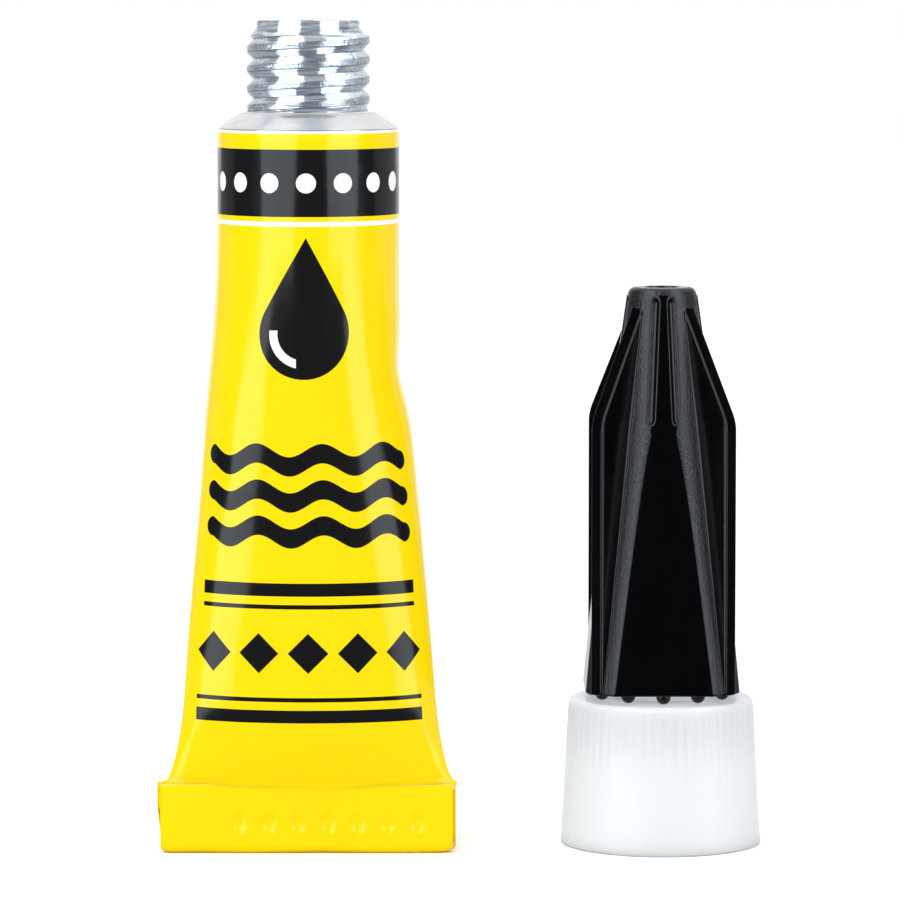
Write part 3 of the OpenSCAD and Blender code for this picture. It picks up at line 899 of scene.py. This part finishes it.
class Print:
    """Flat black and white marks on the enamel, each 1 inside the mark and 0 outside it."""

    def __init__(self, surface):
        self.math = surface.math
        place = surface.tree.nodes.new("ShaderNodeUVMap")
        place.uv_map = PRINT_MAP
        parts = surface.tree.nodes.new("ShaderNodeSeparateXYZ")
        surface.tree.links.new(place.outputs["UV"], parts.inputs["Vector"])
        self.across = parts.outputs["X"]
        self.up = parts.outputs["Y"]

    def near(self, value, middle, half):
        return self.math("COMPARE", value, middle, half)

    def both(self, first, second):
        return self.math("MULTIPLY", first, second)

    def either(self, *marks):
        whole = marks[0]
        for mark in marks[1:]:
            whole = self.math("MAXIMUM", whole, mark)
        return whole

    def length(self, a, b):
        squares = self.math("ADD", self.math("MULTIPLY", a, a), self.math("MULTIPLY", b, b))
        return self.math("SQRT", squares)

    def rise(self, middle):
        return self.math("SUBTRACT", self.up, middle)

    def row(self, pitch):
        """Distance across from the middle of the nearest of a row of cells."""
        return self.math("WRAP", self.across, pitch / 2, -pitch / 2)

    def box(self, middle, half_up, half_across):
        inside = self.near(self.across, 0.0, half_across)
        return self.both(self.near(self.up, middle, half_up), inside)

    def dots(self, middle, radius, pitch):
        return self.math("LESS_THAN", self.length(self.row(pitch), self.rise(middle)), radius)

    def diamonds(self, middle, radius, pitch, half_across):
        aside = self.math("ABSOLUTE", self.row(pitch))
        size = self.math("ADD", aside, self.math("ABSOLUTE", self.rise(middle)))
        inside = self.near(self.across, 0.0, half_across)
        return self.both(self.math("LESS_THAN", size, radius), inside)

    def drop(self, middle, radius, tip):
        """A round drop with a straight-sided point above it."""
        rise = self.rise(middle)
        round_part = self.math("LESS_THAN", self.length(self.across, rise), radius)
        lean = math.asin(radius / tip)
        room = self.math("MULTIPLY", self.math("SUBTRACT", tip, rise), math.tan(lean))
        pointed = self.math("LESS_THAN", self.math("ABSOLUTE", self.across), room)
        above = self.math("GREATER_THAN", rise, radius * math.sin(lean))
        return self.either(round_part, self.both(pointed, above))

    def gleam(self, middle, radius, half_w):
        """A short arc inside the drop, low on its left."""
        rise = self.rise(middle)
        ring = self.near(self.length(self.across, rise), radius, half_w)
        left = self.math("LESS_THAN", self.across, -0.25 * radius)
        low = self.math("LESS_THAN", rise, 0.1 * radius)
        return self.both(ring, self.both(left, low))

    def wave(self, middle, half_w, height, length, half_across):
        """A wavy line with round ends."""
        held = self.math("MAXIMUM", self.math("MINIMUM", self.across, half_across), -half_across)
        swing = self.math("SINE", self.math("MULTIPLY", held, FULL_TURN / length))
        rise = self.math("SUBTRACT", self.rise(middle), self.math("MULTIPLY", swing, height))
        past = self.math("SUBTRACT", self.across, held)
        return self.math("LESS_THAN", self.length(past, rise), half_w)


def enamel_material():
    surface = Surface("printed_yellow_enamel", {"Specular IOR Level": 0.28})
    mark = Print(surface)
    waves = [mark.wave(z, WAVE_HALF_W, WAVE_RISE, WAVE_LENGTH, WAVE_HALF_ACROSS) for z in WAVE_ZS]
    black = mark.either(
        mark.near(mark.up, BAND_Z, BAND_HALF_H),
        mark.drop(DROP_Z, DROP_R, DROP_TIP),
        *waves,
        mark.box(17.3, THICK_RULE, UPPER_RULE_HALF),
        mark.box(16.2, THIN_RULE, UPPER_RULE_HALF),
        mark.diamonds(DIAMOND_Z, DIAMOND_R, DIAMOND_PITCH, DIAMOND_ROW_HALF),
        mark.box(10.2, THIN_RULE, LOWER_RULE_HALF),
        mark.box(9.1, THICK_RULE, LOWER_RULE_HALF),
    )
    white = mark.either(
        mark.dots(BAND_Z, BAND_DOT_R, BAND_DOT_PITCH),
        mark.near(mark.up, BAND_LINE_Z, THIN_RULE),
        mark.gleam(DROP_Z, GLEAM_R, GLEAM_HALF_W),
        mark.math("GREATER_THAN", mark.up, SHOULDER_Z - TOP_LINE_H),
    )
    cloud = surface.noise(0.35)
    yellow = surface.mix(cloud, (0.91, 0.66, 0.0, 1), (0.93, 0.685, 0.0, 1))
    inked = surface.mix(black, yellow, (0.008, 0.008, 0.008, 1))
    surface.feed(
        Base_Color=surface.mix(white, inked, (0.9, 0.9, 0.89, 1)),
        Roughness=surface.span(surface.noise(1.6), 0.1, 0.2),
    )
    surface.bump(surface.noise(3.0, 2.0), 0.003)
    return surface.material


def metal_material():
    """Satin on the shoulder and bright on the neck, with streaks round it, glints painted as speckles
    on its sides, and on its thread nicks, dirt on the ridges' edges and painted shade in the groove
    roots."""
    surface = Surface("drawn_aluminium", {"Metallic": 0.62})
    streaks = surface.fade(surface.noise(6.0, 3.0, (0.08, 0.08, 1.0)), 0.36, 0.62)
    stain = surface.noise(1.2, 4.0, (1.0, 1.0, 0.3))
    on_neck = surface.math("GREATER_THAN", surface.height(), NECK_Z * MM)
    shoulder = surface.mix(stain, (0.62, 0.63, 0.64, 1), (0.76, 0.765, 0.77, 1))
    # Painted glints: light and dark speckles on the neck's sides and crests, where its rough metal
    # sparkles
    painted_glints = surface.fade(surface.noise(7.0, 2.0), 0.4, 0.5)
    brightness = surface.mix(surface.layer(RIDGE), streaks, painted_glints)
    neck = surface.mix(brightness, (0.38, 0.46, 0.56, 1), (0.89, 0.92, 0.95, 1))
    undarkened_metal = surface.mix(on_neck, shoulder, neck)
    surface.feed(
        # The edge layer darkens the thread: dirt on the ridges' edges and painted shade in the groove
        # roots
        Base_Color=surface.mix(surface.layer(EDGE), undarkened_metal, (0.2, 0.23, 0.26, 1)),
        Roughness=surface.span(on_neck, 0.22, 0.12),
    )
    nicks = surface.math("MULTIPLY", surface.noise(7.0, 3.0), surface.layer(RIDGE))
    scratches = surface.math("MULTIPLY", streaks, 0.03)
    surface.bump(surface.math("ADD", scratches, nicks), 0.12)
    return surface.material


def foil_material():
    surface = Surface("membrane_foil", {"Metallic": 1.0})
    creases = surface.noise(0.7, 2.0)
    surface.feed(
        Base_Color=surface.mix(creases, (0.85, 0.86, 0.88, 1), (0.93, 0.93, 0.94, 1)),
        Roughness=surface.span(creases, 0.2, 0.35),
    )
    surface.bump(creases, 0.06)
    return surface.material


def latex_material():
    surface = Surface("dried_latex", {"Specular IOR Level": 0.4})
    grain = surface.noise(2.2, 4.0)
    surface.feed(
        Base_Color=surface.mix(grain, (0.72, 0.58, 0.34, 1), (0.82, 0.71, 0.48, 1)),
        Roughness=surface.span(grain, 0.55, 0.8),
    )
    surface.bump(grain, 0.03)
    return surface.material


def glue_material():
    surface = Surface("clear_glue", {"IOR": 1.45, "Transmission Weight": 0.9})
    haze = surface.noise(0.3, 2.0)
    surface.feed(
        Base_Color=surface.mix(haze, (0.93, 0.95, 0.92, 1), (0.97, 0.98, 0.96, 1)),
        Roughness=surface.span(haze, 0.02, 0.08),
    )
    surface.bump(haze, 0.02)
    return surface.material


def white_material():
    surface = Surface("translucent_polyethylene", {
        "Subsurface Weight": 0.9,
        "Subsurface Radius": (1.0, 1.0, 1.0),
        "Subsurface Scale": 2.0 * MM,
        "Specular IOR Level": 0.25,
    })
    cloud = surface.noise(0.5, 3.0, (1, 1, 0.3))
    base = surface.mix(cloud, (0.72, 0.745, 0.765, 1), (0.76, 0.78, 0.795, 1))
    # Painted shade: the collar darkens towards its top, standing in for the shade of the cap above it
    top = surface.fade(surface.height(), 4.5 * MM, COLLAR_H * MM)
    surface.feed(
        Base_Color=surface.mix(top, base, (0.635, 0.655, 0.675, 1)),
        Roughness=surface.span(surface.noise(1.5, 3.0, (1, 1, 0.2)), 0.25, 0.42),
    )
    surface.bump(surface.noise(3.0, 3.0, (1, 1, 0.12)), 0.02)
    return surface.material


def pin_material():
    surface = Surface("drawn_wire", {"Metallic": 1.0})
    lines = surface.noise(12.0, 2.0, (1, 1, 0.05))
    surface.feed(
        Base_Color=surface.mix(lines, (0.6, 0.61, 0.63, 1), (0.75, 0.76, 0.78, 1)),
        Roughness=surface.span(lines, 0.22, 0.4),
    )
    surface.bump(lines, 0.01)
    return surface.material


def matt_black_material():
    surface = Surface("matt_black_plastic", {"Specular IOR Level": 0.38})
    grain = surface.noise(7.0, 3.0)
    surface.feed(
        Base_Color=surface.mix(grain, (0.006, 0.006, 0.007, 1), (0.012, 0.012, 0.014, 1)),
        Roughness=surface.span(grain, 0.25, 0.36),
    )
    surface.bump(grain, 0.045)
    return surface.material


def gloss_black_material():
    surface = Surface("gloss_black_plastic", {"Specular IOR Level": 0.3})
    flow = surface.noise(0.6, 3.0, (1, 1, 0.3))
    surface.feed(
        Base_Color=surface.mix(flow, (0.0006, 0.0006, 0.0008, 1), (0.0012, 0.0012, 0.0014, 1)),
        Roughness=surface.span(flow, 0.1, 0.2),
    )
    surface.bump(surface.noise(6.0, 3.0), 0.004)
    return surface.material


def dress_node(node, material):
    """Gives a CAD node that stays in view its finish."""
    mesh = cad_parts[node].data
    mesh.materials.clear()
    mesh.materials.append(material)


# Set, lights and camera

def around(turn_deg, distance, height):
    """A place in metres round the object, by its turn from the front."""
    turn = math.radians(turn_deg)
    return Vector((distance * math.sin(turn), -distance * math.cos(turn), height))


def aim(thing, place, target):
    thing.location = place
    thing.rotation_euler = (Vector(target) - Vector(place)).to_track_quat("-Z", "Y").to_euler()


def add_stage(name, points, faces, material):
    mesh = bpy.data.meshes.new(name)
    mesh.from_pydata(points, [], faces)
    mesh.materials.append(material)
    thing = bpy.data.objects.new(name, mesh)
    bpy.context.scene.collection.objects.link(thing)
    return thing


def level_sheet(reach, height):
    """Points and faces of a level square, in metres."""
    corners = [(-reach, -reach), (reach, -reach), (reach, reach), (-reach, reach)]
    return [(x, y, height) for x, y in corners], [(0, 1, 2, 3)]


def make_floor():
    surface = Surface("white_floor", {
        "Base Color": (1.0, 1.0, 1.0, 1), "Roughness": 1.0, "Specular IOR Level": 0.0
    })
    floor = add_stage("floor", *level_sheet(6.0, 0.0), surface.material)
    floor.visible_glossy = False


def make_reflector(name, points, faces, colour, strength):
    """A sheet that only shows in reflections."""
    surface = Surface(name, {
        "Base Color": (0, 0, 0, 1), "Specular IOR Level": 0.0,
        "Emission Color": (*colour, 1), "Emission Strength": strength,
    })
    surface.material.cycles.emission_sampling = "NONE"
    sheet = add_stage(name, points, faces, surface.material)
    sheet.visible_camera = False
    sheet.visible_diffuse = False
    sheet.visible_transmission = False
    sheet.visible_shadow = False


def facing_sheet(turns, tilts, distance):
    """Points and faces of a curved sheet that the camera sees mirrored on surfaces that face
    between two turns and between two upward tilts, in degrees."""
    steps = 16
    points = []
    for tilt in np.radians(np.linspace(*tilts, steps + 1)):
        for turn in np.linspace(*turns, steps + 1):
            facing = around(turn, math.cos(tilt), math.sin(tilt))
            points.append((facing * 2 * facing.dot(CAMERA_SIDE) - CAMERA_SIDE) * distance)
    row = steps + 1
    starts = [i + j * row for j in range(steps) for i in range(steps)]
    return points, [(i, i + 1, i + row + 1, i + row) for i in starts]


def make_curtain(name, turns, colour, strength):
    """A sheet that darkens what the body, the neck and the cap mirror."""
    make_reflector(name, *facing_sheet(turns, CURTAIN_TILTS, CURTAIN_DISTANCE), colour, strength)


def make_strip(name, turns, tilts):
    """A bright sheet that shows as an upright band."""
    make_reflector(name, *facing_sheet(turns, tilts, STRIP_DISTANCE), COOL_WHITE, STRIP_STRENGTH)


def make_shade(name, turns):
    """A dark sheet that shows as a soft band on the shoulder."""
    make_reflector(name, *facing_sheet(turns, SHADE_TILTS, STRIP_DISTANCE), DARK_BLUE, SHADE_STRENGTH)


def make_neck_card(name, start, end):
    """A bright level sector inside the tube, between two turns in degrees. It shows on the undersides
    of the neck's thread, and the enamel can't mirror it."""
    height = (SHOULDER_Z - 0.5) * MM
    reach = (SHOULDER_R - 0.1) * MM
    rim = [around(turn, reach, height) for turn in np.linspace(start, end, 9)]
    points = np.array([around(0, 0, height)] + rim) + TUBE_AXIS
    faces = [list(range(len(points)))]
    make_reflector(name, points.tolist(), faces, COOL_WHITE, NECK_CARD_STRENGTH)


def make_softbox(name, turn_deg, distance, height, width, tall, power):
    light = bpy.data.lights.new(name, "AREA")
    light.shape = "RECTANGLE"
    light.size = width
    light.size_y = tall
    light.energy = power
    lamp = bpy.data.objects.new(name, light)
    lamp.visible_camera = False
    lamp.visible_glossy = False
    bpy.context.scene.collection.objects.link(lamp)
    aim(lamp, around(turn_deg, distance, height), (0, 0, 0.03))


def make_world(level):
    world = bpy.data.worlds.new("studio")
    world.use_nodes = True
    backing = world.node_tree.nodes["Background"]
    backing.inputs["Color"].default_value = (1.0, 1.0, 1.0, 1)
    backing.inputs["Strength"].default_value = level
    bpy.context.scene.world = world


def make_camera():
    data = bpy.data.cameras.new("camera")
    data.sensor_width = SENSOR
    data.lens = SENSOR * CAMERA_DISTANCE * PX_PER_MM / PICTURE_PX
    data.clip_start = 0.01
    data.clip_end = 50
    camera = bpy.data.objects.new("camera", data)
    bpy.context.scene.collection.objects.link(camera)
    target = Vector(CAMERA_TARGET) * MM
    aim(camera, target + CAMERA_SIDE * CAMERA_DISTANCE * MM, target)
    bpy.context.scene.camera = camera


enamel = enamel_material()
make_enamel(enamel)
make_fold(enamel)
make_metal(metal_material())
make_glue(glue_material())
make_nozzle(white_material())
make_cap(matt_black_material(), gloss_black_material())
dress_node("neck_membrane", foil_material())
dress_node("end_seal_band", latex_material())
dress_node("cap_pin", pin_material())

make_floor()
make_curtain("dark_curtain", (-55, 50), DARK_BLUE, 0.05)
make_curtain("grey_curtain_left", (-75, -55), COOL_WHITE, 0.3)
make_curtain("grey_curtain_right", (50, 75), COOL_WHITE, 0.5)
make_strip("left_strip", (-33, -8.5), STRIP_TILTS)
make_strip("right_strip", (14, 35), STRIP_TILTS)
make_strip("left_side_strip", (-40, -23), (-5, NECK_TILT))
make_strip("right_side_strip", (25, 40), (-4, NECK_TILT))
make_neck_card("left_neck_card", -66, -18)
make_neck_card("right_neck_card", 28, 66)
make_shade("left_shoulder_shade", (-36, -28))
make_shade("shoulder_shade", (-6, 10))
make_reflector("ground_card", *level_sheet(7.0, -1.3), COOL_WHITE, 0.3)
make_softbox("top_softbox", -25, 0.55, 0.95, 0.8, 0.8, 4.5)
make_world(1.0)
make_camera()
bpy.context.scene.view_settings.view_transform = "Standard"
